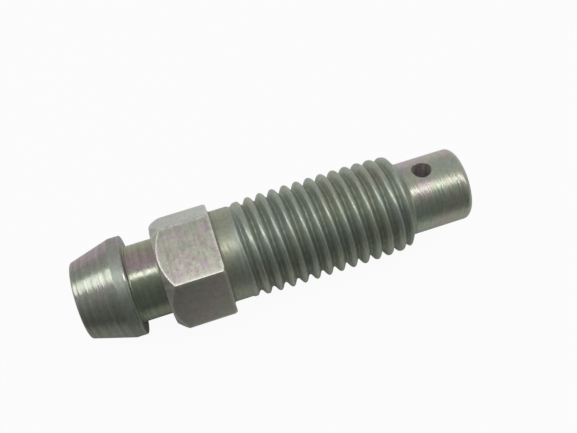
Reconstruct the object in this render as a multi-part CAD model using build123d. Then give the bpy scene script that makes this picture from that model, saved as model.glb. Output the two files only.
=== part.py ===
from build123d import *
import os
from math import atan2, ceil, cos, degrees, radians, sin, tan

# Bleeder screw: one turned, thread-rolled and plated piece of steel, lying on a flat of its hexagon.
# Frame: +X along the axis towards the sealing tip, +Z up through a flat of the hexagon. The origin is
# on the axis, where the plain shank ends and the thread begins. Sizes are in millimetres, and every
# name that ends in _d is a diameter.

# Hexagon for the spanner
hex_across_flats = 10.0
hex_length = 5.64
hex_chamfer_length = 1.02
hex_chamfer_depth = 0.92
hex_back_ease = 0.25

# Plain shank between the hexagon and the thread
shank_d = 9.1
shank_length = 2.0

# Rolled thread, right-handed. The first groove crosses +Z at first_groove_x, and fades out before it.
thread_major_d = 9.76
thread_pitch = 1.25
thread_angle = 60.0
thread_crest_flat = 0.29
thread_root_flat = 0.3125
thread_length = 16.95
thread_lead_in = 0.33
thread_end_angle = 45.0
first_groove_x = 0.396
runout_turns = 0.5
runout_rise = 0.45

# Dog point with the cross hole, which is turned from +Z towards +Y
dog_d = 7.25
dog_length = 5.95
dog_root_fillet = 0.15
dog_tip_chamfer = 0.42
dog_tip_round = 0.4
cross_hole_d = 1.92
cross_hole_from_tip = 4.04
cross_hole_turn = 22.3

# Hose nipple: a neck, a square shoulder, a narrow land and a cone
neck_d = 7.46
neck_length = 2.86
land_d = 9.8
land_length = 1.2
land_round = 0.5
shoulder_chamfer = 0.16
nipple_tip_d = 7.47
nipple_cone_length = 3.96
nipple_tip_chamfer = 0.16

# Bleed bore, drilled from the nipple past the cross hole
bore_d = 2.5
bore_past_cross_hole = 0.9
bore_point_angle = 118.0
bore_mouth_chamfer = 0.2

# How far a cutter, or the stock around the hexagon, stands past the finished surface
overshoot = 0.02

# Places along the axis that follow from the lengths
hex_back_x = -shank_length
hex_face_x = hex_back_x - hex_length
shoulder_x = hex_face_x - neck_length
land_x = shoulder_x - land_length
nipple_tip_x = land_x - nipple_cone_length
dog_tip_x = thread_length + dog_length
cross_hole_x = dog_tip_x - cross_hole_from_tip
bore_end_x = cross_hole_x + bore_past_cross_hole

# Radii and slopes that follow from the diameters and from the thread's form
hex_corner_r = hex_across_flats / 2 / cos(radians(30))
hex_face_r = hex_corner_r - hex_chamfer_depth
nipple_slope = (land_d - nipple_tip_d) / 2 / nipple_cone_length
flank_slope = tan(radians(thread_angle / 2))
thread_depth = (thread_pitch - thread_crest_flat - thread_root_flat) / 2 / flank_slope
thread_major_r = thread_major_d / 2
thread_minor_r = thread_major_r - thread_depth
thread_end_length = (thread_major_r - dog_d / 2) / tan(radians(thread_end_angle))


def turned_blank() -> Part:
    """The whole outside as the lathe leaves it: one outline, turned about the axis.

    Each corner of the outline is given as (x, radius, rounding). Around the hexagon the stock stands
    past the corners, so that the flats and the turned chamfer cut each other as they really do.
    """
    stock_r = hex_corner_r + overshoot
    stock_chamfer_length = hex_chamfer_length * (stock_r - hex_face_r) / hex_chamfer_depth
    corners = [
        (nipple_tip_x, 0, 0),
        (nipple_tip_x, nipple_tip_d / 2 - nipple_tip_chamfer, 0),
        (nipple_tip_x + nipple_tip_chamfer, nipple_tip_d / 2 + nipple_tip_chamfer * nipple_slope, 0),
        (land_x, land_d / 2, land_round),
        (shoulder_x - shoulder_chamfer, land_d / 2, 0),
        (shoulder_x, land_d / 2 - shoulder_chamfer, 0),
        (shoulder_x, neck_d / 2, 0),
        (hex_face_x, neck_d / 2, 0),
        (hex_face_x, hex_face_r, 0),
        (hex_face_x + stock_chamfer_length, stock_r, 0),
        (hex_back_x - hex_back_ease - overshoot, stock_r, 0),
        (hex_back_x, hex_corner_r - hex_back_ease, 0),
        (hex_back_x, shank_d / 2, 0),
        (0, shank_d / 2, 0),
        (thread_lead_in, thread_major_r, 0),
        (thread_length - thread_end_length, thread_major_r, 0),
        (thread_length, dog_d / 2, dog_root_fillet),
        (dog_tip_x - dog_tip_chamfer, dog_d / 2, dog_tip_round),
        (dog_tip_x, dog_d / 2 - dog_tip_chamfer, dog_tip_round),
        (dog_tip_x, 0, 0),
    ]
    outline = FilletPolyline(
        [(x, r, 0) for x, r, _ in corners],
        radius=[rounding for _, _, rounding in corners],
        close=True,
    )
    return revolve(make_face(outline), Axis.X)


def around_hexagon() -> Part:
    """What is cut away around the hexagon: a ring over its length, with a hexagonal inside."""
    outer_r = hex_corner_r + 2 * overshoot
    face = Plane(origin=(hex_face_x, 0, 0), x_dir=(0, 1, 0), z_dir=(1, 0, 0))
    ring = Circle(outer_r) - RegularPolygon(hex_across_flats / 2, 6, major_radius=False)
    return extrude(face * ring, hex_length)


def bleed_bore() -> Part:
    """The drill's way from the nipple: chamfered mouth, straight bore and pointed end."""
    bore_r = bore_d / 2
    point_length = bore_r / tan(radians(bore_point_angle / 2))
    outline = Polyline(
        (nipple_tip_x - overshoot, 0, 0),
        (nipple_tip_x - overshoot, 0, bore_r + bore_mouth_chamfer + overshoot),
        (nipple_tip_x + bore_mouth_chamfer, 0, bore_r),
        (bore_end_x, 0, bore_r),
        (bore_end_x + point_length, 0, 0),
        (nipple_tip_x - overshoot, 0, 0),
    )
    return revolve(make_face(outline), Axis.X)


def cross_hole() -> Part:
    """The radial hole that lets the bore out through one side of the dog point."""
    turn = radians(cross_hole_turn)
    outwards = Plane(origin=(cross_hole_x, 0, 0), z_dir=(0, sin(turn), cos(turn)))
    reach = dog_d / 2 + overshoot
    return outwards * Cylinder(cross_hole_d / 2, reach, align=(Align.CENTER, Align.CENTER, Align.MIN))


def groove_edges(start_x: float, turns: float, start_turn: float, rise: float) -> list[Edge]:
    """Four helices that the corners of the groove's section follow over one stretch.

    The section is a trapezium with the root flat at its bottom and the flanks at its sides, and it
    stands past the crest at its top. It starts start_turn turns round from +Z, rise above full depth,
    and reaches full depth at the end of the stretch.
    """
    top_r = thread_major_r + overshoot
    root_half = thread_root_flat / 2
    top_half = root_half + (top_r - thread_minor_r) * flank_slope
    section = [
        (-root_half, thread_minor_r),
        (root_half, thread_minor_r),
        (top_half, top_r),
        (-top_half, top_r),
    ]
    length = turns * thread_pitch
    fall = atan2(rise, length)
    edges = []
    for offset, radius in section:
        helix = Helix(
            pitch=thread_pitch / cos(fall),  # on a cone, the pitch is measured along the slope
            height=length,
            radius=radius + rise,
            center=(start_x + offset, 0, 0),
            direction=(1, 0, 0),
            cone_angle=-degrees(fall),
        )
        edges.append(helix.edge().rotate(Axis.X, 360 * start_turn))
    return edges


def groove_sides(edges: list[Edge]) -> list[Face]:
    """Ruled faces between neighbouring helices: root, two flanks and top."""
    return [Face.make_surface_from_curves(edges[i - 1], edges[i]) for i in range(len(edges))]


def groove_cap(edges: list[Edge], end: int) -> Face:
    """The flat section that closes the groove, at end 0 or end 1 of its helices."""
    return Face(Wire.make_polygon([edge @ end for edge in edges]))


def thread_groove() -> Solid:
    """The groove between the crests, built turn by turn from exact helical faces.

    It fades in over runout_turns beside the shank, runs at full depth, and leaves through the chamfer
    at the thread's end, so it stops in the open over the dog point.
    """
    runout_x = first_groove_x - runout_turns * thread_pitch
    stretches = [groove_edges(runout_x, runout_turns, -runout_turns, runout_rise)]
    full_turns = ceil((thread_length - first_groove_x) / thread_pitch)
    for turn in range(full_turns):
        stretches.append(groove_edges(first_groove_x + turn * thread_pitch, 1, 0, 0))
    faces = [groove_cap(stretches[0], 0), groove_cap(stretches[-1], 1)]
    for edges in stretches:
        faces.extend(groove_sides(edges))
    return Solid(Shell(faces))


def bleeder_screw() -> Part:
    """The finished screw: turned, with its flats, bore, cross hole and thread."""
    drilled = turned_blank() - around_hexagon() - bleed_bore() - cross_hole()
    return drilled - thread_groove()


os.makedirs("parts", exist_ok=True)
export_step(bleeder_screw(), "parts/bleeder_screw.step")
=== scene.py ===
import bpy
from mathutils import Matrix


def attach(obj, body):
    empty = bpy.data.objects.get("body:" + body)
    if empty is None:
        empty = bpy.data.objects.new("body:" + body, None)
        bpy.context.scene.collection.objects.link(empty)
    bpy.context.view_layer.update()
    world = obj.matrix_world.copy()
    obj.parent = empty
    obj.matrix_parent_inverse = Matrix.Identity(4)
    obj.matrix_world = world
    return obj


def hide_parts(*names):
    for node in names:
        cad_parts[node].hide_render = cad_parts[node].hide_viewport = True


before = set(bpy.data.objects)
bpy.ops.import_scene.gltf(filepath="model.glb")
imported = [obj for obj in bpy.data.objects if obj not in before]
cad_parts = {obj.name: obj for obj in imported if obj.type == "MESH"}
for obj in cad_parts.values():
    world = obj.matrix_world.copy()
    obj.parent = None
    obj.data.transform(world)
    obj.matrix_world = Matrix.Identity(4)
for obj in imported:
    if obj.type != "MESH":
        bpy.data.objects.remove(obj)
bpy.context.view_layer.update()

import logging
import math
from dataclasses import dataclass, field
from enum import Enum
from typing import Callable, Sequence

import bmesh
import bpy
import numpy as np
from mathutils import Matrix, Vector

# A bleeder screw, dressed for the camera: one closed body of plated steel, lying on a flat of its
# hexagon. Shapes are worked out in millimetres and put into their meshes in metres.
MM = 0.001
TURN = 2 * math.pi
log = logging.getLogger("bleeder_screw")

# Points nearer to each other than this, in metres, become one
WELD = 1.5e-6
# A corner that turns by this much or more has the full edge value
SHARP_TURN = math.radians(50)
# How far an arc, and the row past it, may reach along a straight stretch
ARC_SHARE, HELD_SHARE = 0.45, 0.48
# How far the waves of red, green and blue light turn in one wavelength of green
FILM_WAVES = (TURN * 0.85, TURN, TURN * 1.22)
# Colour of the painted shade in inner corners
CORNER_SHADE = (0.12, 0.12, 0.09, 1)

Array = np.ndarray
Wall = Callable[[Array], Array]
Border = tuple[Array, Array]
Colour = tuple[float, float, float]
Range = tuple[float, float]
Socket, Sockets = bpy.types.NodeSocket, bpy.types.NodeOutputs
Node, Tree = bpy.types.Node, bpy.types.NodeTree


class Finish(Enum):
    """The finishes on the screw, in the order of its material slots."""

    NIPPLE = 0
    LAND = 1
    NECK = 2
    FLATS = 3
    SHANK = 4
    THREAD = 5
    DOG = 6
    BORE = 7


# Surfaces as whole arrays


def soft_min(a: Array, b: Array, reach: float) -> Array:
    """The lower of two surfaces, with the corner between them rounded.

    Where they differ by less than reach, the lower one is lowered by a parabola of the difference, at
    most reach / 4. Elsewhere it is the plain minimum.

    Args:
        a: heights of one surface.
        b: heights of the other.
        reach: difference in height at which the rounding begins.

    Returns:
        The blended heights.
    """
    share = np.clip(0.5 + 0.5 * (b - a) / reach, 0.0, 1.0)
    return b + (a - b) * share - reach * share * (1.0 - share)


def soft_max(a: Array, b: Array, reach: float) -> Array:
    """The higher of two surfaces, with the corner between them filled as by soft_min, upside down.

    Args:
        a: heights of one surface.
        b: heights of the other.
        reach: difference in height at which the rounding begins.

    Returns:
        The blended heights.
    """
    return -soft_min(-a, -b, reach)


def put_in_scene(name: str, data: bpy.types.ID) -> bpy.types.Object:
    """Puts something into the scene, at the origin.

    Args:
        name: the object's name.
        data: its mesh, lamp or camera.

    Returns:
        The new object.
    """
    made = bpy.data.objects.new(name, data)
    bpy.context.scene.collection.objects.link(made)
    return made


def frame_of(x: Sequence[float], y: Sequence[float], z: Sequence[float], place: Vector) -> Matrix:
    """The placing of an object whose own axes lie along x, y and z."""
    return Matrix.Translation(place) @ Matrix((x, y, z)).transposed().to_4x4()


def within_half_turn(angle: Array) -> Array:
    """The same angle, between minus and plus half a turn."""
    return np.angle(np.exp(1j * angle))


@dataclass(frozen=True)
class Corner:
    """A corner of a turned outline. Place and radius may change round the axis.

    Attributes:
        x: place along the axis, in millimetres.
        r: distance from the axis, in millimetres.
        rounding: radius of the arc that rounds the corner.
        finish: finish of the stretch that starts here.
        steps: number of steps round the arc.
        hold: how far into the straight stretches the edge value fades, in millimetres.
    """

    x: float | Array
    r: float | Array
    rounding: float = 0.0
    finish: Finish = Finish.NIPPLE
    steps: int = 5
    hold: float = 0.07


@dataclass
class Rows:
    """Rows of points round the axis, from one end of a surface to the other.

    Attributes:
        x: places along the axis, row by column.
        r: distances from the axis, row by column.
        edge: 1 on an outer edge, -1 in an inner corner, 0 on plain surface, row by column.
        finish: finish number of the strip after each row but the last.
    """

    x: Array
    r: Array
    edge: Array
    finish: Array


def turned_rows(corners: Sequence[Corner], columns: int) -> Rows:
    """Rows along an outline of straight stretches and round corners.

    Each round corner is a rational curve (1-u)^2 A + 2u(1-u)w K + u^2 B over its weights, with the
    corner K, its tangent points A and B, and w the cosine of half the turn, which is an exact arc. A row
    a little way into each straight stretch keeps the arc's shading off it, and no row passes the
    stretch's middle.

    Args:
        corners: the outline's corners in order, at least two.
        columns: number of columns round the axis.

    Returns:
        The rows, with edge values and finishes.
    """
    knots = np.array([[np.broadcast_to(c.x, columns), np.broadcast_to(c.r, columns)] for c in corners], float)
    runs = knots[1:] - knots[:-1]
    lengths = np.maximum(np.hypot(runs[:, 0], runs[:, 1]), 1e-9)
    ways = runs / lengths[:, None]
    rows = [knots[0][None]]
    edges = [np.zeros((1, columns))]
    finishes: list[int] = []
    for index in range(1, len(corners) - 1):
        corner, knot = corners[index], knots[index]
        come, leave = ways[index - 1], ways[index]
        turn = np.arccos(np.clip((come * leave).sum(0), -1.0, 1.0))
        side = -np.sign(come[0] * leave[1] - come[1] * leave[0]) * np.clip(turn / SHARP_TURN, 0, 1)
        room = ARC_SHARE * np.minimum(lengths[index - 1], lengths[index])
        reach = np.minimum(corner.rounding * np.tan(turn / 2), room)
        weight = np.cos(turn / 2)
        u = np.linspace(0.0, 1.0, corner.steps + 1)[:, None, None]
        parts = (1 - u) ** 2, 2 * u * (1 - u) * weight, u**2
        arc = parts[0] * (knot - come * reach) + parts[1] * knot + parts[2] * (knot + leave * reach)
        arc = arc / (parts[0] + parts[1] + parts[2])
        before = np.minimum(corner.hold, HELD_SHARE * lengths[index - 1] - reach)
        after = np.minimum(corner.hold, HELD_SHARE * lengths[index] - reach)
        rows += [(knot - come * (reach + before))[None], arc, (knot + leave * (reach + after))[None]]
        edges += [np.zeros((1, columns)), np.tile(side, (corner.steps + 1, 1)), np.zeros((1, columns))]
        finishes += [corners[index - 1].finish.value] * 2
        finishes += [corner.finish.value] * (corner.steps + 1)
    rows.append(knots[-1][None])
    edges.append(np.zeros((1, columns)))
    finishes.append(corners[-2].finish.value)
    points = np.concatenate(rows)
    return Rows(points[:, 0], points[:, 1], np.concatenate(edges), np.array(finishes))


@dataclass
class Skin:
    """The surfaces of one body, gathered patch by patch and then welded shut."""

    points: list[Array] = field(default_factory=list)
    edges: list[Array] = field(default_factory=list)
    faces: list[Array] = field(default_factory=list)
    finishes: list[Array] = field(default_factory=list)
    count: int = 0

    def add_points(self, x: Array, r: Array, phi: Array, edge: Array) -> Array:
        """Adds points given round the axis: (x, r sin phi, r cos phi), with phi from up towards +Y.

        Args:
            x: places along the axis.
            r: distances from the axis.
            phi: angles round the axis, in radians.
            edge: edge values.

        Returns:
            The new points' numbers, in the arrays' common shape.
        """
        x, r, phi, edge = np.broadcast_arrays(x, r, phi, edge)
        self.points.append(np.stack([x, r * np.sin(phi), r * np.cos(phi)], -1).reshape(-1, 3))
        self.edges.append(edge.reshape(-1))
        numbers = self.count + np.arange(x.size).reshape(x.shape)
        self.count += x.size
        return numbers

    def add_faces(self, faces: Array, finish: int | Array) -> None:
        """Adds triangles or quads, one row of point numbers each, with one finish or one for each."""
        self.faces.append(faces)
        self.finishes.append(np.broadcast_to(finish, len(faces)))

    def add_grid(self, rows: Rows, phi: Array, keep: Array | None = None) -> Array:
        """Adds a grid of rows and columns, and the quads between them.

        Args:
            rows: the grid's rows.
            phi: angle of each column.
            keep: which cells get a quad, row by column. All do if it is left out.

        Returns:
            The grid's point numbers, row by column.
        """
        n = self.add_points(rows.x, rows.r, phi, rows.edge)
        quads = np.stack([n[:-1, :-1], n[1:, :-1], n[1:, 1:], n[:-1, 1:]], -1)
        finish = np.broadcast_to(rows.finish[:, None], quads.shape[:2])
        chosen = np.ones(quads.shape[:2], bool) if keep is None else keep
        self.add_faces(quads[chosen], finish[chosen])
        return n

    def add_strips(self, rings: Sequence[Array], finish: Sequence[int]) -> None:
        """Joins closed rings of equally many points, each to the next, with quads.

        Args:
            rings: point numbers of each ring, in the same order round it.
            finish: finish number of each strip.
        """
        for here, there, number in zip(rings[:-1], rings[1:], finish):
            quads = np.stack([here, there, np.roll(there, -1), np.roll(here, -1)], -1)
            self.add_faces(quads, number)

    def mesh(self, name: str) -> bpy.types.Mesh:
        """Puts the surfaces into one mesh, welds what meets and turns every face outwards.

        Points that no face uses are left out. An edge is open if other than two faces meet at it.

        Args:
            name: the mesh's name.

        Returns:
            The closed mesh, in metres, with its edge values as a point attribute.
        """
        sizes = np.concatenate([np.full(len(f), f.shape[1]) for f in self.faces])
        starts = np.concatenate([[0], np.cumsum(sizes)[:-1]])
        used, corners = np.unique(np.concatenate([f.reshape(-1) for f in self.faces]), return_inverse=True)
        points = np.concatenate(self.points)[used] * MM
        edges = np.concatenate(self.edges)[used]
        mesh = bpy.data.meshes.new(name)
        mesh.vertices.add(len(points))
        mesh.vertices.foreach_set("co", points.astype(np.float32).ravel())
        mesh.loops.add(len(corners))
        mesh.loops.foreach_set("vertex_index", corners.astype(np.int32))
        mesh.polygons.add(len(sizes))
        mesh.polygons.foreach_set("loop_start", starts.astype(np.int32))
        mesh.polygons.foreach_set("material_index", np.concatenate(self.finishes).astype(np.int32))
        mesh.update(calc_edges=True)
        mesh.attributes.new("edge", "FLOAT", "POINT").data.foreach_set("value", edges.astype(np.float32))
        body = bmesh.new()
        body.from_mesh(mesh)
        bmesh.ops.remove_doubles(body, verts=body.verts, dist=WELD)
        bmesh.ops.recalc_face_normals(body, faces=body.faces)
        volume = body.calc_volume(signed=True) / MM**3
        body.to_mesh(mesh)
        body.free()
        mesh.polygons.foreach_set("use_smooth", np.ones(len(mesh.polygons), bool))
        mesh.update()
        sides = np.empty(len(mesh.loops), np.int32)
        mesh.loops.foreach_get("edge_index", sides)
        open_edges = int((np.bincount(sides, minlength=len(mesh.edges)) != 2).sum())
        triangles = len(mesh.loops) - 2 * len(mesh.polygons)
        log.info("%s: %d triangles, %d open edges, %.0f cubic mm", name, triangles, open_edges, volume)
        return mesh


# The screw's own sub-assemblies


@dataclass(frozen=True)
class Columns:
    """Where the columns of points stand round the axis.

    They are even, with a few more at each corner of the hexagon, and start where no feature is.
    """

    even: int = 192
    first_degrees: float = -165.0
    corner_offsets: tuple[float, ...] = (-1.1, -0.75, -0.38, 0.38, 0.75, 1.1)
    coarse_step: int = 3

    def angles(self) -> Array:
        """Angles from up towards +Y, even ones and those at the hexagon's corners, in order.

        Returns:
            The angles in radians, the last one turn past the first.
        """
        first = self.first_degrees
        even = first + np.arange(self.even) * 360 / self.even
        corners = first + np.mod(30 + 60 * np.arange(6) - first, 360)
        extra = (corners[:, None] + np.array(self.corner_offsets)).ravel()
        return np.radians(np.append(np.sort(np.concatenate([even, extra])), first + 360))


@dataclass(frozen=True)
class Hexagon:
    """The hexagon for the spanner, with its turned chamfer and slightly broken edges.

    The hold values keep the shading of the rounded edges off the flats, as a Corner's hold does.
    """

    across_flats: float = 10.0
    edge_round: float = 0.15
    face_x: float = -7.64
    back_x: float = -1.92
    chamfer_length: float = 1.02
    chamfer_depth: float = 0.92
    back_ease: float = 0.25
    least_ease: float = 0.04
    shank_r: float = 4.55
    neck_fillet: float = 0.12
    face_round: float = 0.06
    chamfer_round: float = 0.12
    chamfer_hold: float = 0.16
    back_round: float = 0.08
    back_hold: float = 0.28
    shank_fillet: float = 0.2
    # Bands along the long edges, which the flats' finish paints lighter: wear, and painted highlights on the
    # edges
    wear_glint_degrees: float = 4.0
    wear_glint_fade: float = 3.2

    @property
    def corner_r(self) -> float:
        """Distance from the axis to a sharp corner."""
        return self.across_flats / 2 / math.cos(math.radians(30))

    def radius(self, phi: Array) -> Array:
        """Distance from the axis to the hexagon's sides, round its edges too.

        Between corners it is half the width over the cosine of the angle from the flat's middle. Near
        a corner it is where a ray meets a circle of radius edge_round that touches both flats.

        Args:
            phi: angles round the axis, in radians.

        Returns:
            The distances, in millimetres.
        """
        half, rho = self.across_flats / 2, self.edge_round
        off_flat = np.mod(phi + math.pi / 6, math.pi / 3) - math.pi / 6
        centre = (half - rho) / math.cos(math.radians(30))
        off_corner = np.abs(off_flat) - math.pi / 6
        beside = centre * np.sin(off_corner)
        arc = centre * np.cos(off_corner) + np.sqrt(np.maximum(rho**2 - beside**2, 0.0))
        reach = math.atan(rho * 0.5 / (centre + rho * math.cos(math.radians(30))))
        return np.where(np.abs(off_corner) <= reach, arc, half / np.cos(off_flat))

    def edge_values(self, phi: Array) -> Array:
        """1 at the hexagon's long edges, falling as a square to 0 at wear_glint_degrees from them."""
        off_corner = np.abs(np.mod(phi, math.pi / 3) - math.pi / 6)
        return np.clip((self.wear_glint_degrees - np.degrees(off_corner)) / self.wear_glint_fade, 0, 1) ** 2

    def corners(self, phi: Array, neck_r: float) -> list[Corner]:
        """The outline from the neck over the hexagon to the shank.

        The turned chamfer meets each flat where the cone has the flat's distance from the axis, so it
        ends in a curve. At the back, only what stands out past the ease is cut away.

        Args:
            phi: angle of each column.
            neck_r: radius of the neck before the hexagon.

        Returns:
            The corners in order along the outline.
        """
        side = self.radius(phi)
        face_r = self.corner_r - self.chamfer_depth
        front = self.face_x + (side - face_r) * self.chamfer_length / self.chamfer_depth
        ease = np.maximum(self.least_ease, side - (self.corner_r - self.back_ease))
        return [
            Corner(self.face_x, neck_r, self.neck_fillet, Finish.NECK),
            Corner(self.face_x, face_r, self.face_round, Finish.FLATS, 3),
            Corner(front, side, self.chamfer_round, Finish.FLATS, 5, self.chamfer_hold),
            Corner(self.back_x - ease, side, self.back_round, Finish.FLATS, 3, self.back_hold),
            Corner(self.back_x, side - ease, self.back_round, Finish.SHANK, 3),
            Corner(self.back_x, self.shank_r, self.shank_fillet, Finish.SHANK),
        ]


@dataclass(frozen=True)
class HoseNipple:
    """The nipple for the bleed hose: end face, cone, land, square shoulder and neck."""

    tip_x: float = -15.66
    tip_r: float = 3.735
    land_x: float = -11.70
    land_r: float = 4.9
    smooth_x: float = -10.79
    shoulder_x: float = -10.60
    neck_r: float = 3.73
    rim_r: float = 2.0
    tip_round: float = 0.22
    land_round: float = 0.5
    shoulder_round: float = 0.12

    def corners(self) -> list[Corner]:
        """The outline from the flat rim round the bore's mouth to the neck.

        Returns:
            The corners in order along the outline.
        """
        return [
            Corner(self.tip_x, self.rim_r),
            Corner(self.tip_x, self.tip_r, self.tip_round),
            Corner(self.land_x, self.land_r, self.land_round, Finish.LAND),
            Corner(self.smooth_x, self.land_r, 0, Finish.NIPPLE, 1),
            Corner(self.shoulder_x, self.land_r, self.shoulder_round, Finish.LAND),
            Corner(self.shoulder_x, self.neck_r, self.shoulder_round, Finish.NECK),
        ]


@dataclass(frozen=True)
class RolledThread:
    """The rolled right-hand thread, with the plain shank before it and the chamfer at its end.

    The soft values are the reaches over which one surface blends into another.
    """

    crest_r: float = 4.88
    pitch: float = 1.25
    crest_flat: float = 0.29
    crest_soft: float = 0.24
    root_round: float = 0.185
    first_crests_low: float = 0.25
    last_crests_low: float = 0.22
    crests_fade: float = 1.5
    crests_from_x: float = 0.4
    first_groove_x: float = 0.49
    runout_turns: float = 0.5
    runout_rise: float = 0.45
    shank_r: float = 4.55
    dog_r: float = 3.625
    lip_x: float = 16.14
    lip_r: float = 4.66
    lip_slope: float = 1.5
    start_x: float = -0.35
    end_x: float = 17.0
    lead_soft: float = 0.06
    dog_soft: float = 0.12
    end_soft: float = 0.1
    # Bands on the crests and in the grooves: the finish paints crests lighter, as wear and painted glints,
    # and grooves darker, as painted shade
    wear_glint_depth: float = 0.055
    wear_glint_height: float = 0.15
    root_shade_height: float = 0.2
    plain_ends: float = 0.1
    row_places: tuple[float, ...] = (0.08, 0.16, 0.34, 0.41, 0.465, 0.515, 0.57)

    def outside(self, x: Array) -> Array:
        """Radius over the crests: shank, short cone, crests, end chamfer, dog point.

        The crests at both ends aren't rolled to their full height. The first are lower by
        first_crests_low times e to the minus distance over crests_fade, and the last likewise. Past the
        last one, the end falls to the dog point by lip_slope for each millimetre.

        Args:
            x: places along the axis.

        Returns:
            The radius at each place.
        """
        lead = soft_max(np.full_like(x, self.shank_r), self.shank_r + x, self.lead_soft)
        past, ahead = np.maximum(x - self.crests_from_x, 0.0), np.maximum(self.lip_x - x, 0.0)
        crests = self.crest_r - self.first_crests_low * np.exp(-past / self.crests_fade)
        crests = crests - self.last_crests_low * np.exp(-ahead / self.crests_fade)
        front = soft_min(crests, lead, self.lead_soft)
        end = self.lip_r - (x - self.lip_x) * self.lip_slope
        back = soft_max(end, np.full_like(x, self.dog_r), self.dog_soft)
        return soft_min(front, back, self.end_soft)

    def shape(self, x: Array, phi: Array) -> tuple[Array, Array]:
        """Radius of the thread and its edge values.

        The place within a turn is t = (x - first groove) / pitch + phi / one turn, less the nearest
        whole number k. Its distance s from the groove's middle gives the groove: a circle arc at the
        root, then flanks of 60 degrees. The groove rises evenly where k - phi / one turn, the turns
        since full depth, is below zero, and is cut off softly at the blank's outside. The first and the
        last row stay on the outside, where they meet the shank and the dog point. Edge values are 1 on
        the crests, down to wear_glint_depth, where they stand wear_glint_height over the shank, and -1 in the
        grooves, up to root_shade_height over the root. Near both ends they are 0.

        Args:
            x: places along the axis.
            phi: angles round the axis.

        Returns:
            Radius and edge value at each point.
        """
        slope = math.tan(math.radians(60))
        vertex_r = self.crest_r - (self.pitch - self.crest_flat) / 2 * slope
        turns = (x - self.first_groove_x) / self.pitch + phi / TURN
        groove = np.round(turns)
        s = np.abs(turns - groove) * self.pitch
        rise = self.runout_rise / self.runout_turns * np.maximum(phi / TURN - groove, 0.0)
        rho = self.root_round
        arc = vertex_r + 2 * rho - np.sqrt(np.maximum(rho**2 - s**2, 0.0))
        cut = np.where(s < rho * math.sin(math.radians(60)), arc, vertex_r + slope * s) + rise
        outside = self.outside(x)
        at_ends = (x <= self.start_x) | (x >= self.end_x)
        radius = np.where(at_ends, outside, soft_min(cut, outside, self.crest_soft))
        depth, height = outside - radius, radius - vertex_r - rho
        rolled = np.clip((outside - self.shank_r) / self.wear_glint_height, 0, 1)
        # Crest band: lighter, as wear and painted glint; root band: darker, as painted shade
        crest = np.clip(1 - depth / self.wear_glint_depth, 0, 1) * rolled
        root = np.clip(1 - height / self.root_shade_height, 0, 1) * np.clip(depth / self.root_shade_height, 0, 1)
        between = (x > self.start_x + self.plain_ends) & (x < self.end_x - self.plain_ends)
        return radius, np.where(between, crest - root, 0.0)

    def rows(self, phi: Array) -> Rows:
        """Rows that wind round the axis with the thread, so that each follows one line of it.

        Row i stands at its own place within the pitch, less pitch times phi over one turn, held
        between the two ends, where rows that fall together are welded later.

        Args:
            phi: angle of each column.

        Returns:
            The rows from the shank to the dog point.
        """
        flank = np.array(self.row_places)
        places = np.concatenate([[-self.pitch / 2], -flank[::-1], [0.0], flank])
        first = math.floor((self.start_x - self.first_groove_x) / self.pitch + phi.min() / TURN) - 1
        last = math.ceil((self.end_x - self.first_groove_x) / self.pitch + phi.max() / TURN) + 1
        starts = (self.first_groove_x + self.pitch * np.arange(first, last + 1)[:, None] + places).ravel()
        x = np.clip(starts[:, None] - self.pitch * phi / TURN, self.start_x, self.end_x)
        used = (x.max(1) > self.start_x) & (x.min(1) < self.end_x)
        ends = [np.full((1, len(phi)), self.start_x), np.full((1, len(phi)), self.end_x)]
        x = np.concatenate([ends[0], x[used], ends[1]])
        radius, edge = self.shape(x, np.broadcast_to(phi, x.shape))
        return Rows(x, radius, edge, np.full(len(x) - 1, Finish.THREAD.value))


@dataclass(frozen=True)
class CrossHole:
    """The radial hole in the dog point, and how it is let into a round wall.

    The shares say where its rings of points lie: on the way from the dog point's window to the rim,
    down the hole's wall, and on the way from the wall's foot to the bore's window.
    """

    x: float = 18.86
    turn_degrees: float = 22.3
    radius: float = 0.96
    edge_round: float = 0.07
    patch_shares: tuple[float, ...] = (0.3, 0.55, 0.75, 0.9, 1.0)
    edge_degrees: tuple[float, ...] = (30, 60, 90)
    wall_shares: tuple[float, ...] = (0.08, 0.35, 0.7, 1.0)
    foot_shares: tuple[float, ...] = (0.4, 0.75)

    @property
    def phi(self) -> float:
        """Angle of the hole's axis from up towards +Y, in radians."""
        return math.radians(self.turn_degrees)

    def ways(self, border: Array, wall_r: float) -> Array:
        """The way round the hole to each point of a border, given as x and phi on a wall."""
        return np.arctan2((border[1] - self.phi) * wall_r, border[0] - self.x)

    def ring(self, ways: Array, radius: float, wall: Wall) -> Array:
        """A circle about the hole's axis, laid on a wall round the screw's axis.

        With the way a round the circle, x is the hole's place plus radius times cos a. The angle past
        the hole is the arc sine of radius times sin a over the wall's distance from the axis.

        Args:
            ways: angles round the hole.
            radius: the circle's radius.
            wall: distance of the wall from the screw's axis for each place x.

        Returns:
            Three rows: x, wall radius, and angle round the screw's axis.
        """
        x = self.x + radius * np.cos(ways)
        r = wall(x)
        return np.array([x, r, self.phi + np.arcsin(np.clip(radius * np.sin(ways) / r, -1, 1))])


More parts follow.
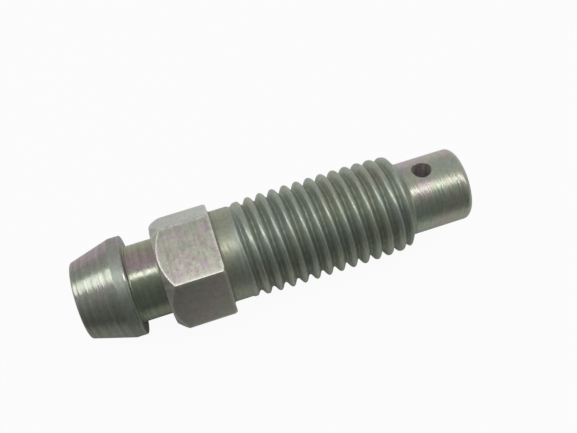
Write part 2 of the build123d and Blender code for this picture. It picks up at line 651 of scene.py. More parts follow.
@dataclass(frozen=True)
class Window:
    """A rectangle of a grid's cells that is opened for the cross hole."""

    row_from: int
    row_to: int
    column_from: int
    column_to: int

    def keep(self, shape: tuple[int, int]) -> Array:
        """Picks the cells that stay closed.

        Args:
            shape: the grid's number of rows and columns of points.

        Returns:
            Whether each cell stays, row by column.
        """
        kept = np.ones((shape[0] - 1, shape[1] - 1), bool)
        kept[self.row_from : self.row_to, self.column_from : self.column_to] = False
        return kept

    def border(self) -> tuple[Array, Array]:
        """Goes round the rectangle one way, past each point of its border once.

        Returns:
            The points' row numbers and column numbers.
        """
        down = np.arange(self.row_from, self.row_to)
        along = np.arange(self.column_from, self.column_to)
        level, upright = np.ones_like(along), np.ones_like(down)
        rows = [down, level * self.row_to, down[::-1] + 1, level * self.row_from]
        columns = [upright * self.column_from, along, upright * self.column_to, along[::-1] + 1]
        return np.concatenate(rows), np.concatenate(columns)


@dataclass(frozen=True)
class DogPoint:
    """The plain dog point with its rounded end."""

    radius: float = 3.625
    start_x: float = 17.0
    tip_x: float = 22.90
    tip_chamfer: float = 0.42
    tip_round: float = 0.5
    pole_ring_r: float = 0.9
    window_x: Range = (17.52, 20.2)
    window_degrees: Range = (1.9, 43.1)
    window_rows: int = 20

    def rows(self, columns: int) -> Rows:
        """Rows along the point: a plain start, even rows at the hole, then the end and its pole.

        Args:
            columns: number of columns round the axis.

        Returns:
            The rows, from the thread to the tip.
        """
        even = np.linspace(*self.window_x, self.window_rows + 1)
        x = np.broadcast_to(np.append(self.start_x, even)[:, None], (len(even) + 1, columns))
        end = turned_rows(
            [
                Corner(self.window_x[1], self.radius, 0, Finish.DOG),
                Corner(self.tip_x - self.tip_chamfer, self.radius, self.tip_round, Finish.DOG),
                Corner(self.tip_x, self.radius - self.tip_chamfer, self.tip_round, Finish.DOG),
                Corner(self.tip_x, self.pole_ring_r, 0, Finish.DOG, 1),
                Corner(self.tip_x, 0.0, 0, Finish.DOG),
            ],
            columns,
        )
        return Rows(
            np.concatenate([x, end.x[1:]]),
            np.concatenate([np.full(x.shape, self.radius), end.r[1:]]),
            np.concatenate([np.zeros(x.shape), end.edge[1:]]),
            np.full(len(x) + len(end.x) - 2, Finish.DOG.value),
        )


@dataclass(frozen=True)
class BleedBore:
    """The blind bore from the nipple's end, with its chamfered mouth and drill point."""

    radius: float = 1.25
    mouth_x: float = -15.66
    mouth_chamfer: float = 0.2
    end_x: float = 19.76
    point_degrees: float = 118.0
    rim_r: float = 1.7
    mouth_ease: float = 0.02
    mouth_hold: float = 0.3
    straight_x: tuple[float, ...] = (10.0, 0.0, -10.0)
    window_from_x: float = 17.5
    window_to_x: float = 20.05
    window_degrees: Range = (-40.0, 84.0)

    @property
    def point_slope(self) -> float:
        """How much the drill point narrows over one unit of length."""
        return math.tan(math.radians(self.point_degrees / 2))

    def wall(self, x: Array) -> Array:
        """Distance of the bore's wall from the axis: straight, then the drill point's cone."""
        return np.minimum(self.radius, self.radius - (x - self.end_x) * self.point_slope)

    def rows(self, columns: int, window_rows: int) -> Rows:
        """Rows from the drill point's tip back to the flat rim round the mouth.

        Args:
            columns: number of columns round the axis.
            window_rows: number of rows of cells over the stretch where the cross hole comes in.

        Returns:
            The rows, the drill point's tip first.
        """
        tip_x = self.end_x + self.radius / self.point_slope
        ease, mouth = self.mouth_ease, self.mouth_x
        inner, chamfer_r = mouth + self.mouth_chamfer, self.radius + self.mouth_chamfer
        x = np.concatenate([
            [tip_x, (tip_x + self.window_to_x) / 2],
            np.linspace(self.window_to_x, self.window_from_x, window_rows + 1),
            self.straight_x,
            [inner + self.mouth_hold, inner + ease, inner - ease, mouth + ease, mouth, mouth],
        ])
        mouth_r = [self.radius, self.radius + ease, chamfer_r - ease, chamfer_r + ease, self.rim_r]
        r = np.append(self.wall(x[: -len(mouth_r)]), mouth_r)
        edge = np.zeros(len(x))
        edge[-3:-1] = 1.0
        finish = np.full(len(x) - 1, Finish.BORE.value)
        finish[-3:] = Finish.NIPPLE.value
        grid = np.ones((1, columns))
        return Rows(x[:, None] * grid, r[:, None] * grid, edge[:, None] * grid, finish)


@dataclass
class BleederScrew:
    """The whole screw, put together from its sub-assemblies into one closed body."""

    columns: Columns = field(default_factory=Columns)
    nipple: HoseNipple = field(default_factory=HoseNipple)
    hexagon: Hexagon = field(default_factory=Hexagon)
    thread: RolledThread = field(default_factory=RolledThread)
    dog: DogPoint = field(default_factory=DogPoint)
    hole: CrossHole = field(default_factory=CrossHole)
    bore: BleedBore = field(default_factory=BleedBore)

    def add_front(self, skin: Skin, phi: Array) -> Array:
        """Adds nipple, hexagon and shank up to the thread.

        Args:
            skin: what the surfaces are added to.
            phi: angle of each column.

        Returns:
            Point numbers of the first row, round the nipple's end face.
        """
        outline = self.nipple.corners() + self.hexagon.corners(phi, self.nipple.neck_r)
        outline.append(Corner(self.thread.start_x, self.thread.shank_r, 0, Finish.SHANK))
        rows = turned_rows(outline, len(phi))
        on_flats = (rows.finish == Finish.FLATS.value).nonzero()[0]
        span = slice(on_flats[0], on_flats[-1] + 1)
        rows.edge[span] = np.maximum(rows.edge[span], self.hexagon.edge_values(phi))
        return skin.add_grid(rows, phi)[0]

    def add_dog(self, skin: Skin, phi: Array) -> Border:
        """Adds the dog point with its window.

        Args:
            skin: what the surfaces are added to.
            phi: angle of each column.

        Returns:
            Point numbers round the window, and the window's border as x and phi.
        """
        rows = self.dog.rows(len(phi))
        from_column, to_column = np.searchsorted(phi, np.radians(self.dog.window_degrees))
        window = Window(1, 1 + self.dog.window_rows, int(from_column) - 1, int(to_column))
        numbers = skin.add_grid(rows, phi, window.keep(rows.x.shape))
        border = window.border()
        return numbers[border], np.array([rows.x[border], phi[border[1]]])

    def add_bore(self, skin: Skin, phi: Array, points: int) -> tuple[Array, Array, Array]:
        """Adds the bore with its window, on every third column.

        Args:
            skin: what the surfaces are added to.
            phi: angle of each coarse column.
            points: how many points the window's border must have.

        Returns:
            Point numbers of the last row, point numbers round the window, and its border as x and phi.
        """
        from_column, to_column = np.searchsorted(phi, np.radians(self.bore.window_degrees))
        from_column = int(from_column) - 1
        window_rows = points // 2 - (int(to_column) - from_column)
        rows = self.bore.rows(len(phi), window_rows)
        window = Window(2, 2 + window_rows, from_column, int(to_column))
        numbers = skin.add_grid(rows, phi, window.keep(rows.x.shape))
        border = window.border()
        return numbers[-1], numbers[border], np.array([rows.x[border], phi[border[1]]])

    def add_hole(self, skin: Skin, outer: Border, inner: Border) -> None:
        """Adds the cross hole: a patch round its rim, its wall, and a patch where it enters the bore.

        Each patch blends evenly in x and phi from the window's border to a circle about the hole.

        Args:
            skin: what the surfaces are added to.
            outer: the dog point's window, as numbers and border.
            inner: the bore's window, as numbers and border.
        """
        hole, dog_r = self.hole, self.dog.radius
        on_dog: Wall = lambda x: np.full_like(x, dog_r)
        border = outer[1]
        ways = hole.ways(border, dog_r)
        inner_ways = hole.ways(inner[1], self.bore.radius)
        shift = int(np.argmin(np.abs(within_half_turn(inner_ways - ways[0]))))
        step, inner_step = within_half_turn(np.array([ways[1] - ways[0], inner_ways[1] - inner_ways[0]]))
        direction = 1 if inner_step * step > 0 else -1
        order = (shift + direction * np.arange(len(inner_ways))) % len(inner_ways)
        rings = [outer[0]]
        rim = hole.ring(ways, hole.radius + hole.edge_round, on_dog)
        for share in hole.patch_shares:
            x, phi = border[0] + (rim[0] - border[0]) * share, border[1] + (rim[2] - border[1]) * share
            rings.append(skin.add_points(x, on_dog(x), phi, 1.0 if share == 1.0 else 0.0))
        for lean in np.radians(hole.edge_degrees):
            out, drop = hole.edge_round * (1 - math.sin(lean)), hole.edge_round * (1 - math.cos(lean))
            x, r, phi = hole.ring(ways, hole.radius + out, on_dog)
            rings.append(skin.add_points(x, r - drop, phi, 1.0))
        dog_strips = len(rings) - 1
        top = hole.ring(ways, hole.radius, on_dog)
        foot = hole.ring(ways, hole.radius, self.bore.wall)
        aside = hole.radius * np.sin(ways)
        heights = np.sqrt(top[1] ** 2 - aside**2) - hole.edge_round, np.sqrt(foot[1] ** 2 - aside**2)
        for share in hole.wall_shares:
            height = heights[0] + (heights[1] - heights[0]) * share
            phi = hole.phi + np.arctan2(aside, height)
            rings.append(skin.add_points(top[0], np.hypot(height, aside), phi, 0.0))
        far = inner[1][:, order]
        for share in hole.foot_shares:
            x, phi = foot[0] + (far[0] - foot[0]) * share, foot[2] + (far[1] - foot[2]) * share
            rings.append(skin.add_points(x, self.bore.wall(x), phi, 0.0))
        rings.append(inner[0][order])
        bore_strips = len(rings) - 1 - dog_strips
        skin.add_strips(rings, [Finish.DOG.value] * dog_strips + [Finish.BORE.value] * bore_strips)

    def add_rim(self, skin: Skin, fine: Array, coarse: Array) -> None:
        """Joins the nipple's end face to the bore's mouth, three fine steps to each coarse one.

        Args:
            skin: what the faces are added to.
            fine: point numbers round the end face.
            coarse: point numbers round the bore's mouth.
        """
        step = self.columns.coarse_step
        a, b = coarse[:-1], coarse[1:]
        f = [fine[k : len(fine) - step + k : step] for k in range(step + 1)]
        for corners in ((a, f[0], f[1]), (a, f[1], f[2]), (a, f[2], b), (b, f[2], f[3])):
            skin.add_faces(np.stack(corners, -1), Finish.NIPPLE.value)

    def build(self) -> bpy.types.Object:
        """Builds the closed body and puts it into the scene.

        Returns:
            The screw, in place of its CAD solid.
        """
        phi = self.columns.angles()
        coarse = phi[:: self.columns.coarse_step]
        skin = Skin()
        fine_rim = self.add_front(skin, phi)
        skin.add_grid(self.thread.rows(phi), phi)
        outer = self.add_dog(skin, phi)
        coarse_rim, *inner = self.add_bore(skin, coarse, len(outer[0]))
        self.add_hole(skin, outer, (inner[0], inner[1]))
        self.add_rim(skin, fine_rim, coarse_rim)
        return put_in_scene("plated_screw", skin.mesh("plated_screw"))

    def dress(self, screw: bpy.types.Object) -> None:
        """Gives each part of the surface its finish."""
        for finish in Finish:
            screw.data.materials.append(FINISHES[finish].material())


# Node groups and finishes


class Wiring:
    """A short way to add and join nodes in one tree."""

    def __init__(self, tree: Tree) -> None:
        """Takes the tree that the nodes go into."""
        self.tree = tree

    @classmethod
    def afresh(cls, owner: bpy.types.Material | bpy.types.World) -> "Wiring":
        """Gives a material or a world an empty tree.

        Args:
            owner: the material or world.

        Returns:
            The tree's wiring, ready for its nodes.
        """
        owner.use_nodes = True
        owner.node_tree.nodes.clear()
        return cls(owner.node_tree)

    def join(self, node: Node, inputs: dict) -> Node:
        """Sets what goes into a node.

        Args:
            node: the node.
            inputs: input name or number to a value, or to an output socket that is joined to it.

        Returns:
            The same node.
        """
        for name, value in inputs.items():
            if isinstance(value, Socket):
                self.tree.links.new(value, node.inputs[name])
            else:
                node.inputs[name].default_value = value
        return node

    def node(self, kind: str, inputs: dict | None = None, **settings: object) -> Node:
        """Adds a node.

        Args:
            kind: the node type's name, without its common beginning.
            inputs: what goes into it, as join takes it.
            settings: the node's own settings.

        Returns:
            The new node.
        """
        made = self.tree.nodes.new("ShaderNode" + kind)
        for name, value in settings.items():
            setattr(made, name, value)
        return self.join(made, inputs or {})

    def effect(self, name: str, inputs: dict) -> Sockets:
        """Places a shared effect with its own values, and gives its outputs."""
        return self.node("Group", inputs, node_tree=EFFECTS[name]).outputs

    def math(self, operation: str, a: object, b: object = 0.0, clamp: bool = False) -> Socket:
        """One step of arithmetic on two numbers or sockets, as an output socket."""
        return self.node("Math", {0: a, 1: b}, operation=operation, use_clamp=clamp).outputs[0]

    def vector(self, operation: str, a: object, b: object = (0, 0, 0)) -> Socket:
        """One step of arithmetic on two vectors, or on a vector and its scale, as an output socket."""
        second = "Scale" if operation == "SCALE" else 1
        return self.node("VectorMath", {0: a, second: b}, operation=operation).outputs[0]

    def parts(self, vector: Socket) -> Sockets:
        """The three parts of a vector, as output sockets."""
        return self.node("SeparateXYZ", {0: vector}).outputs

    def noise(self, place: Socket, scale: object, detail: object = 2.0, roughness: float = 0.5) -> Socket:
        """Soft noise from 0 to 1 over the places, as an output socket."""
        inputs = {"Vector": place, "Scale": scale, "Detail": detail, "Roughness": roughness}
        return self.node("TexNoise", inputs).outputs[0]

    def remap(
        self, value: object, low: object, high: object, to_low: float = 0.0, to_high: float = 1.0
    ) -> Socket:
        """Carries a range smoothly to another one, held at its ends, as an output socket."""
        inputs = {"Value": value, "From Min": low, "From Max": high, "To Min": to_low, "To Max": to_high}
        return self.node("MapRange", inputs, interpolation_type="SMOOTHSTEP").outputs[0]

    def blend(self, share: object, a: object, b: object, how: str = "MIX") -> Socket:
        """Blends two colours by a share, as an output socket."""
        return self.node("Mix", {0: share, 6: a, 7: b}, data_type="RGBA", blend_type=how).outputs[2]


def new_group(
    name: str, inputs: dict[str, object], outputs: dict[str, str]
) -> tuple[Wiring, Sockets, Node]:
    """Makes an empty node group with named sockets.

    Args:
        name: the group's name.
        inputs: each input's first value: a number, or three values for a vector, or four for a colour.
        outputs: each output's kind, Float or Color.

    Returns:
        The group's wiring, the sockets that its inputs come from, and the node that its outputs go to.
    """
    tree = bpy.data.node_groups.new(name, "ShaderNodeTree")
    for label, value in inputs.items():
        kind = {1: "Float", 3: "Vector", 4: "Color"}[np.size(value)]
        made = tree.interface.new_socket(label, in_out="INPUT", socket_type="NodeSocket" + kind)
        made.default_value = value
    for label, kind in outputs.items():
        tree.interface.new_socket(label, in_out="OUTPUT", socket_type="NodeSocket" + kind)
    return Wiring(tree), tree.nodes.new("NodeGroupInput").outputs, tree.nodes.new("NodeGroupOutput")


class Effects:
    """The effects that the finishes share, each a node group that is built once."""

    @staticmethod
    def build() -> dict[str, Tree]:
        """Builds all the groups, and gives each by its name."""
        made = (Effects.turning(), Effects.streaks(), Effects.film(), Effects.wear_and_glint())
        return {tree.name: tree for tree in made}

    @staticmethod
    def turning() -> Tree:
        """Rings that a lathe tool leaves: noise along the axis alone, bent and faded a little round it.

        Returns:
            The group.
        """
        w, get, result = new_group(
            "turning_rings",
            {"Position": (0, 0, 0), "Spacing": 0.2, "Wander": 0.03, "Patchiness": 0.5},
            {"Height": "Float", "Tone": "Float"},
        )
        place = get["Position"]
        bent = w.math("ADD", w.parts(place)[0], w.math("MULTIPLY", w.noise(place, 0.35, 1.0), get["Wander"]))
        inputs = {"W": w.math("DIVIDE", bent, get["Spacing"]), "Scale": 1.0, "Detail": 2.0, "Roughness": 0.6}
        rings = w.node("TexNoise", inputs, noise_dimensions="1D").outputs[0]
        patch = w.remap(w.noise(place, 0.8), 0.35, 0.65)
        faded = w.math("MULTIPLY", w.math("SUBTRACT", 1.0, patch), get["Patchiness"])
        height = w.math("MULTIPLY", w.math("SUBTRACT", rings, 0.5), w.math("SUBTRACT", 1.0, faded))
        w.join(result, {"Height": height, "Tone": w.remap(w.math("ADD", height, 0.5), 0.3, 0.7)})
        return w.tree

    @staticmethod
    def streaks() -> Tree:
        """Short marks with a grain: noise on a position that is stretched by its own amount each way.

        Returns:
            The group.
        """
        w, get, result = new_group(
            "grain_marks",
            {"Position": (0, 0, 0), "Stretch": (1, 1, 1), "Detail": 3.0},
            {"Height": "Float", "Tone": "Float"},
        )
        marks = w.noise(w.vector("MULTIPLY", get["Position"], get["Stretch"]), 1.0, get["Detail"], 0.62)
        w.join(result, {"Height": w.math("SUBTRACT", marks, 0.5), "Tone": w.remap(marks, 0.32, 0.68)})
        return w.tree

    @staticmethod
    def film() -> Tree:
        """The changing colours of a thin passivation film on zinc.

        The film's thickness is counted in wavelengths of green light. It changes in soft clouds, and by
        Lean on the way from one place across the screw to another, which paints by place how the colours
        change with the angle they are seen at: a painted sheen. Each of red, green and blue is
        strengthened by the cosine of one turn times the thickness times green's wavelength over its own.

        Returns:
            The group.
        """
        w, get, result = new_group(
            "interference_film",
            {"Position": (0, 0, 0), "Base": (0.5, 0.5, 0.45, 1), "Thickness": 1.95, "Clouds": 1.0,
             "Cloud Size": 2.0, "Lean": 0.0, "Lean From": 0.0, "Lean To": 3.5, "Strength": 0.15,
             "Mottle": 0.1, "Mottle Size": 0.4, "Detail": 3.0},
            {"Color": "Color"},
        )
        place, detail = get["Position"], get["Detail"]
        cloud = w.noise(place, w.math("DIVIDE", 1.0, get["Cloud Size"]), detail, 0.55)
        drift = w.math("MULTIPLY", w.math("SUBTRACT", cloud, 0.5), get["Clouds"])
        # Painted sheen: the film's colours shift across the screw as they would with the viewing angle
        across = w.remap(w.parts(place)[1], get["Lean From"], get["Lean To"])
        sloped = w.math("MULTIPLY", across, get["Lean"])
        thickness = w.math("ADD", get["Thickness"], w.math("ADD", drift, sloped))
        waves = w.vector("COSINE", w.vector("SCALE", FILM_WAVES, thickness))
        tint = w.vector("ADD", w.vector("SCALE", waves, get["Strength"]), (1, 1, 1))
        coloured = w.vector("MULTIPLY", get["Base"], tint)
        fine = w.noise(place, w.math("DIVIDE", 1.0, get["Mottle Size"]), detail, 0.6)
        spots = w.math("MULTIPLY", w.remap(fine, 0.3, 0.7, -1.0, 1.0), get["Mottle"])
        w.join(result, {"Color": w.vector("SCALE", coloured, w.math("ADD", 1.0, spots))})
        return w.tree

    @staticmethod
    def wear_and_glint() -> Tree:
        """Lighter outer edges, as wear and painted highlight, and painted shade in inner corners, from the
        mesh's edge values, broken up by noise.

        Returns:
            The group.
        """
        w, get, result = new_group(
            "edge_wear_glint_and_shade",
            {"Position": (0, 0, 0), "Edge": 0.0, "Break Up": 0.5},
            {"Wear And Glint": "Float", "Corner Shade": "Float"},
        )
        broken = w.math("MULTIPLY", w.remap(w.noise(get["Position"], 1.6, 3.0), 0.35, 0.65), get["Break Up"])
        outer = w.math("MAXIMUM", get["Edge"], 0.0)
        inner = w.math("MAXIMUM", w.math("MULTIPLY", get["Edge"], -1.0), 0.0)
        w.join(result, {
            "Wear And Glint": w.math("MULTIPLY", outer, w.math("SUBTRACT", 1.0, broken), clamp=True),
            "Corner Shade": w.math("MULTIPLY", inner, w.math("ADD", 0.6, broken), clamp=True),
        })
        return w.tree


@dataclass(frozen=True)
class PlatedFinish:
    """Satin zinc plating, passivated, on one kind of surface.

    Sizes, depths and places are in millimetres.

    Attributes:
        name: the material's name.
        base: main colour of the plating.
        film: the film's thickness, in wavelengths of green light.
        clouds: how much the thickness changes in clouds.
        cloud_size: size of the clouds.
        lean: how much the film's colours shift, in thickness, from the near side to the far side,
            towards +Y: a painted sheen for colours that change with the viewing angle.
        lean_across: where across the screw that change begins and ends.
        strength: how strong the film's colours are.
        mottle: how much the level changes from spot to spot.
        mottle_size: size of the spots.
        detail: how many finer layers clouds, spots and grain have.
        roughness: roughness at its smoothest and roughest.
        ring_spacing: distance between turning rings.
        ring_depth: their depth.
        ring_patchiness: how much the rings fade in patches.
        ring_shade: how much darker the bottoms of the rings are.
        stretch: how fine the grain is along x, y and z, in marks per millimetre.
        grain_depth: its depth.
        wear_glint_colour: colour of outer edges, as wear and as a painted highlight where they glint.
        wear_and_glint: how much that colour shows on outer edges.
        polish: how much smoother outer edges are, or rougher if it is negative.
        corner_shade: how much inner corners are darkened, as painted shade.
        dull: how much rougher inner corners are.
    """

    name: str
    base: Colour
    film: float = 1.95
    clouds: float = 1.0
    cloud_size: float = 2.2
    lean: float = 0.0
    lean_across: Range = (0.0, 3.5)
    strength: float = 0.15
    mottle: float = 0.08
    mottle_size: float = 0.4
    detail: float = 3.0
    roughness: Range = (0.28, 0.4)
    ring_spacing: float = 0.35
    ring_depth: float = 0.02
    ring_patchiness: float = 0.5
    ring_shade: float = 0.0
    stretch: tuple[float, float, float] = (4.0, 0.6, 0.6)
    grain_depth: float = 0.01
    wear_glint_colour: Colour = (0.72, 0.70, 0.64)
    wear_and_glint: float = 0.2
    polish: float = 0.1
    corner_shade: float = 0.3
    dull: float = 0.15

    def material(self) -> bpy.types.Material:
        """Builds the material.

        Returns:
            A metal whose colour, roughness and normal change over the surface.
        """
        made = bpy.data.materials.new(self.name)
        w = Wiring.afresh(made)
        place = w.vector("SCALE", w.node("TexCoord").outputs["Object"], 1 / MM)
        edge = w.node("Attribute", attribute_name="edge").outputs["Fac"]
        rings = w.effect("turning_rings", {
            "Position": place, "Spacing": self.ring_spacing, "Patchiness": self.ring_patchiness,
        })
        grain = w.effect("grain_marks", {"Position": place, "Stretch": self.stretch, "Detail": self.detail})
        wear_glint_shade = w.effect("edge_wear_glint_and_shade", {"Position": place, "Edge": edge})
        tinted = w.effect("interference_film", {
            "Position": place, "Base": (*self.base, 1), "Thickness": self.film, "Clouds": self.clouds,
            "Cloud Size": self.cloud_size, "Lean": self.lean, "Lean From": self.lean_across[0],
            "Lean To": self.lean_across[1], "Strength": self.strength, "Mottle": self.mottle,
            "Mottle Size": self.mottle_size, "Detail": self.detail,
        })
        shade = w.math("MULTIPLY", w.math("SUBTRACT", 1.0, rings["Tone"]), self.ring_shade)
        colour = w.blend(shade, tinted["Color"], (0, 0, 0, 1))
        # Outer edges turn lighter: wear, and a painted highlight where the edges glint
        colour = w.blend(w.math("MULTIPLY", wear_glint_shade["Wear And Glint"], self.wear_and_glint), colour, (*self.wear_glint_colour, 1))
        # Painted shade: inner corners are darkened towards a dark colour
        colour = w.blend(w.math("MULTIPLY", wear_glint_shade["Corner Shade"], self.corner_shade), colour, CORNER_SHADE)
        tone = w.math("MULTIPLY", w.math("ADD", rings["Tone"], grain["Tone"]), 0.5)
        rough = w.remap(tone, 0.15, 0.85, self.roughness[1], self.roughness[0])
        rough = w.math("SUBTRACT", rough, w.math("MULTIPLY", wear_glint_shade["Wear And Glint"], self.polish))
        rough = w.math("ADD", rough, w.math("MULTIPLY", wear_glint_shade["Corner Shade"], self.dull))
        height = w.math("ADD", w.math("MULTIPLY", rings["Height"], self.ring_depth),
                        w.math("MULTIPLY", grain["Height"], self.grain_depth))
        bump = w.node("Bump", {"Strength": 1.0, "Distance": MM, "Height": height}).outputs[0]
        inputs = {"Base Color": colour, "Roughness": rough, "Metallic": 1.0, "Normal": bump}
        shader = w.node("BsdfPrincipled", inputs)
        w.node("OutputMaterial", {"Surface": shader.outputs[0]})
        return made


EFFECTS: dict[str, Tree] = {}
FINISHES: dict[Finish, PlatedFinish] = {
    Finish.NIPPLE: PlatedFinish(
        "plated_nipple", (0.583, 0.555, 0.516), film=2.9, lean=-0.38, lean_across=(1.0, 2.8),
        strength=0.065, clouds=1.25, cloud_size=2.0, roughness=(0.19, 0.3), ring_depth=0.05,
        ring_spacing=0.45, ring_shade=0.25, wear_and_glint=0.0, polish=0.0,
    ),
    Finish.LAND: PlatedFinish(
        "plated_land", (0.492, 0.48, 0.465), film=2.9, lean=-0.38, lean_across=(2.2, 4.4),
        strength=0.06, clouds=0.9, roughness=(0.40, 0.5), ring_depth=0.03, ring_spacing=0.45,
        ring_shade=0.1, wear_and_glint=0.0, polish=0.0,
    ),
    Finish.NECK: PlatedFinish(
        "plated_neck", (0.494, 0.475, 0.414), film=2.92, lean=-0.78, lean_across=(-1.5, 2.6),
        strength=0.09, clouds=0.7, cloud_size=1.2, roughness=(0.16, 0.27), ring_depth=0.03,
        ring_spacing=0.4, ring_shade=0.2, grain_depth=0.02,
    ),
    # On the flats the lighter edge colour mostly paints the glints along the hexagon's edges: painted
    # highlight, with some wear
    Finish.FLATS: PlatedFinish(
        "plated_flats", (0.557, 0.545, 0.51), film=2.17, lean=-0.33, lean_across=(1.9, 2.8),
        strength=0.065, clouds=0.9, cloud_size=1.2, mottle=0.07, mottle_size=0.45, detail=2.0,
        roughness=(0.17, 0.25), ring_depth=0.0, stretch=(2.4, 1.3, 1.3), grain_depth=0.006,
        wear_glint_colour=(0.84, 0.82, 0.77), wear_and_glint=0.9, polish=-0.12,
    ),
    Finish.SHANK: PlatedFinish(
        "plated_shank", (0.505, 0.483, 0.447), film=2.0, strength=0.09, clouds=0.7, cloud_size=1.5,
        roughness=(0.38, 0.5), ring_depth=0.03, ring_shade=0.1, wear_and_glint=0.1,
    ),
    Finish.THREAD: PlatedFinish(
        "plated_thread", (0.49, 0.483, 0.468), film=1.98, strength=0.08, clouds=0.7, cloud_size=2.8,
        roughness=(0.42, 0.52), ring_depth=0.0, grain_depth=0.005, stretch=(2.5, 1.2, 1.2), wear_and_glint=0.1,
        polish=0.14, corner_shade=0.4,
    ),
    Finish.DOG: PlatedFinish(
        "plated_dog", (0.552, 0.545, 0.525), film=2.02, lean=0.2, lean_across=(0.5, 2.6),
        strength=0.10, clouds=1.2, roughness=(0.24, 0.34), ring_depth=0.015, ring_spacing=0.22,
        ring_shade=0.08, grain_depth=0.04, stretch=(3.5, 0.5, 0.5), wear_and_glint=0.05, polish=0.0,
    ),
    # Painted light: the bore's plating is painted much paler than the rest, so that its dim inside looks lit
    Finish.BORE: PlatedFinish(
        "plated_bore", (0.89, 0.87, 0.84), film=1.4, strength=0.02, roughness=(0.45, 0.6),
        ring_depth=0.01, wear_and_glint=0.0, corner_shade=0.0,
    ),
}


# The studio


@dataclass(frozen=True)
class Strip:
    """One soft strip light over the screw.

    Attributes:
        along: how far its middle lies along the strips' common line, in metres.
        size: its length and width, in metres.
        level: its brightness, where 1 is white.
        aside: how far it is moved across that line, towards the far side, in metres.
    """

    along: float
    size: Range
    level: float
    aside: float = 0.0


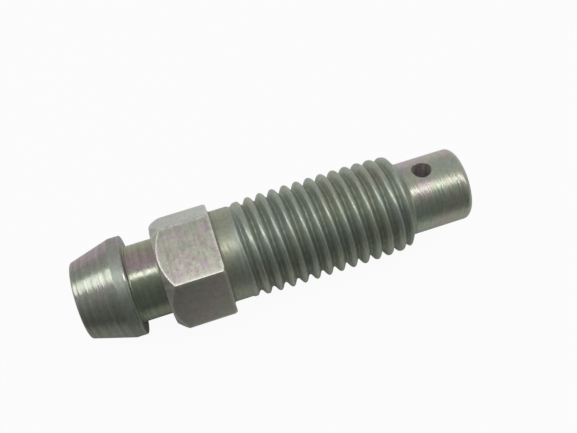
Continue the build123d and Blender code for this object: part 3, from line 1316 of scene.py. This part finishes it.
@dataclass(frozen=True)
class Studio:
    """The pale floor, the soft light and the camera.

    Lengths are in millimetres, but the strips' in metres, and angles in degrees. The camera sees the
    floor nearly white. What the metal shows of it is painted darker towards the near side, a painted
    shade for light that falls off there: fall_across and fall_along say where, fall_levels to which
    levels along the screw, on the near side and the far side, and floor_glow the painted glow that the
    metal sees added beyond it, up to glow_to. The blend values say between which ways one side of the
    room turns into another, past the tip (end) and past the nipple (left) too, and side_slant how much a
    way to the tip counts as a way to the far side.
    """

    floor_z: float = -5.0
    floor_half: float = 3000.0
    floor_paint: Colour = (0.86, 0.86, 0.84)
    floor_white: float = 0.94
    floor_near: Colour = (0.38, 0.38, 0.37)
    floor_far: Colour = (0.92, 0.92, 0.90)
    fall_across: tuple[float, float, float] = (-34.0, -5.0, 5.0)
    fall_along: Range = (-16.0, 2.0)
    fall_levels: tuple[Range, Range] = ((0.5, 0.85), (0.72, 1.0))
    floor_glow: float = 0.2
    glow_to: float = 10.0
    camera_at: tuple[float, float, float] = (-2.59, -21.45, 71.25)
    camera_right: tuple[float, float, float] = (0.94899, -0.31526, 0.00577)
    camera_up: tuple[float, float, float] = (0.29604, 0.89714, 0.32791)
    camera_back: tuple[float, float, float] = (-0.10855, -0.30947, 0.94470)
    lens: float = 47.69
    strip_lean: float = 5.2
    strip_turn: float = -22.0
    strip_distance: float = 0.25
    strips: tuple[Strip, ...] = (
        Strip(0.21, (0.48, 0.058), 2.1),
        Strip(-0.075, (0.09, 0.058), 2.1, -0.022),
        Strip(-0.285, (0.33, 0.155), 1.3),
    )
    near_side: Colour = (0.13, 0.135, 0.13)
    far_side: Colour = (0.47, 0.455, 0.46)
    end_near: Colour = (0.12, 0.125, 0.12)
    end_far: Colour = (0.50, 0.50, 0.49)
    left_near: Colour = (0.12, 0.125, 0.12)
    left_far: Colour = (0.365, 0.365, 0.365)
    side_slant: float = 0.25
    side_blend: Range = (-1.0, 0.55)
    end_blend: Range = (0.4, 0.9)
    left_blend: Range = (-0.05, -0.6)
    left_side_blend: Range = (-0.85, 0.05)

    def add_camera(self) -> None:
        """Sets the camera where the photograph was taken from."""
        data = bpy.data.cameras.new("camera")
        data.sensor_fit, data.sensor_width, data.lens = "HORIZONTAL", 36.0, self.lens
        data.clip_start, data.clip_end = 0.002, 20.0
        camera = put_in_scene("camera", data)
        place = Vector(self.camera_at) * MM
        camera.matrix_world = frame_of(self.camera_right, self.camera_up, self.camera_back, place)
        bpy.context.scene.camera = camera

    def add_floor(self) -> None:
        """Lays the pale floor, which is nearly white to the camera and keeps the screw's shadow."""
        half, z = self.floor_half * MM, self.floor_z * MM
        mesh = bpy.data.meshes.new("floor")
        corners = [(-half, -half, z), (half, -half, z), (half, half, z), (-half, half, z)]
        mesh.from_pydata(corners, [], [(0, 1, 2, 3)])
        floor = put_in_scene("floor", mesh)
        made = bpy.data.materials.new("pale_floor")
        w = Wiring.afresh(made)
        rays = w.node("LightPath").outputs
        place = w.parts(w.node("TexCoord").outputs["Object"])
        near, middle, far = (value * MM for value in self.fall_across)
        left, right = (value * MM for value in self.fall_along)
        # Painted shade: the floor that the metal shows is darker towards the near side and the nipple's end
        seen = w.blend(w.remap(place[1], near, middle), (*self.floor_near, 1), (*self.floor_far, 1))
        levels = [w.remap(place[0], left, right, *ends) for ends in self.fall_levels]
        seen = w.blend(1.0, seen, w.blend(w.remap(place[1], middle, far), *levels), "MULTIPLY")
        colour = w.blend(rays["Is Glossy Ray"], (*self.floor_paint, 1), seen)
        paint = w.node("BsdfDiffuse", {"Color": colour})
        white = w.node("Emission", {"Color": (1, 1, 1, 1), "Strength": 1.0})
        # Painted light: a glow on the far side of the floor, seen only by the metal
        glow = w.math("MULTIPLY", w.remap(place[1], 0, self.glow_to * MM), self.floor_glow)
        glow = w.math("MULTIPLY", rays["Is Glossy Ray"], glow)
        plain = w.math("MAXIMUM", w.math("MULTIPLY", rays["Is Camera Ray"], self.floor_white), glow)
        whole = w.node("MixShader", {0: plain, 1: paint.outputs[0], 2: white.outputs[0]})
        w.node("OutputMaterial", {"Surface": whole.outputs[0]})
        mesh.materials.append(made)

    def add_strips(self) -> None:
        """Hangs the long soft strips over the screw, all on one line."""
        lean, turn = math.radians(self.strip_lean), math.radians(self.strip_turn)
        way = Vector((0, math.sin(lean), math.cos(lean)))
        along = Vector((math.cos(turn), math.sin(turn), 0))
        along = (along - way * along.dot(way)).normalized()
        aside = way.cross(along)
        for number, strip in enumerate(self.strips, 1):
            data = bpy.data.lights.new(f"strip_{number}", "AREA")
            data.shape, data.size, data.size_y = "RECTANGLE", *strip.size
            data.energy = strip.level * math.pi * strip.size[0] * strip.size[1]
            place = way * self.strip_distance + along * strip.along + aside * strip.aside
            put_in_scene(data.name, data).matrix_world = frame_of(along, aside, way, place)

    def add_world(self) -> None:
        """Sets the room's light: darker on the near side, with its own levels past the screw's ends."""
        world = bpy.data.worlds.new("studio")
        w = Wiring.afresh(world)
        way = w.parts(w.node("TexCoord").outputs["Generated"])
        slanted = w.math("ADD", way[1], w.math("MULTIPLY", way[0], self.side_slant))
        side = w.remap(slanted, *self.side_blend)
        room = w.blend(side, (*self.near_side, 1), (*self.far_side, 1))
        end = w.blend(side, (*self.end_near, 1), (*self.end_far, 1))
        left_side = w.remap(way[1], *self.left_side_blend)
        left = w.blend(left_side, (*self.left_near, 1), (*self.left_far, 1))
        room = w.blend(w.remap(way[0], *self.end_blend), room, end)
        room = w.blend(w.remap(way[0], *self.left_blend), room, left)
        seen = w.blend(w.node("LightPath").outputs["Is Camera Ray"], room, (1, 1, 1, 1))
        back = w.node("Background", {"Color": seen, "Strength": 1.0})
        w.node("OutputWorld", {"Surface": back.outputs[0]})
        bpy.context.scene.world = world

    def build(self) -> None:
        """Sets up camera, floor and light, with plain colour management."""
        bpy.context.scene.view_settings.view_transform = "Standard"
        self.add_camera()
        self.add_floor()
        self.add_strips()
        self.add_world()


def main() -> None:
    """Builds the studio and the screw, in order, and reports each."""
    logging.basicConfig(level=logging.INFO, format="%(name)s: %(message)s")
    EFFECTS.update(Effects.build())
    Studio().build()
    log.info("studio: camera, floor, strip lights, room")
    maker = BleederScrew()
    screw = maker.build()
    maker.dress(screw)
    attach(screw, "root")
    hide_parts("bleeder_screw")
    log.info("screw: dressed in %d finishes", len(screw.data.materials))
    bpy.context.view_layer.update()


if __name__ == "__main__":
    main()
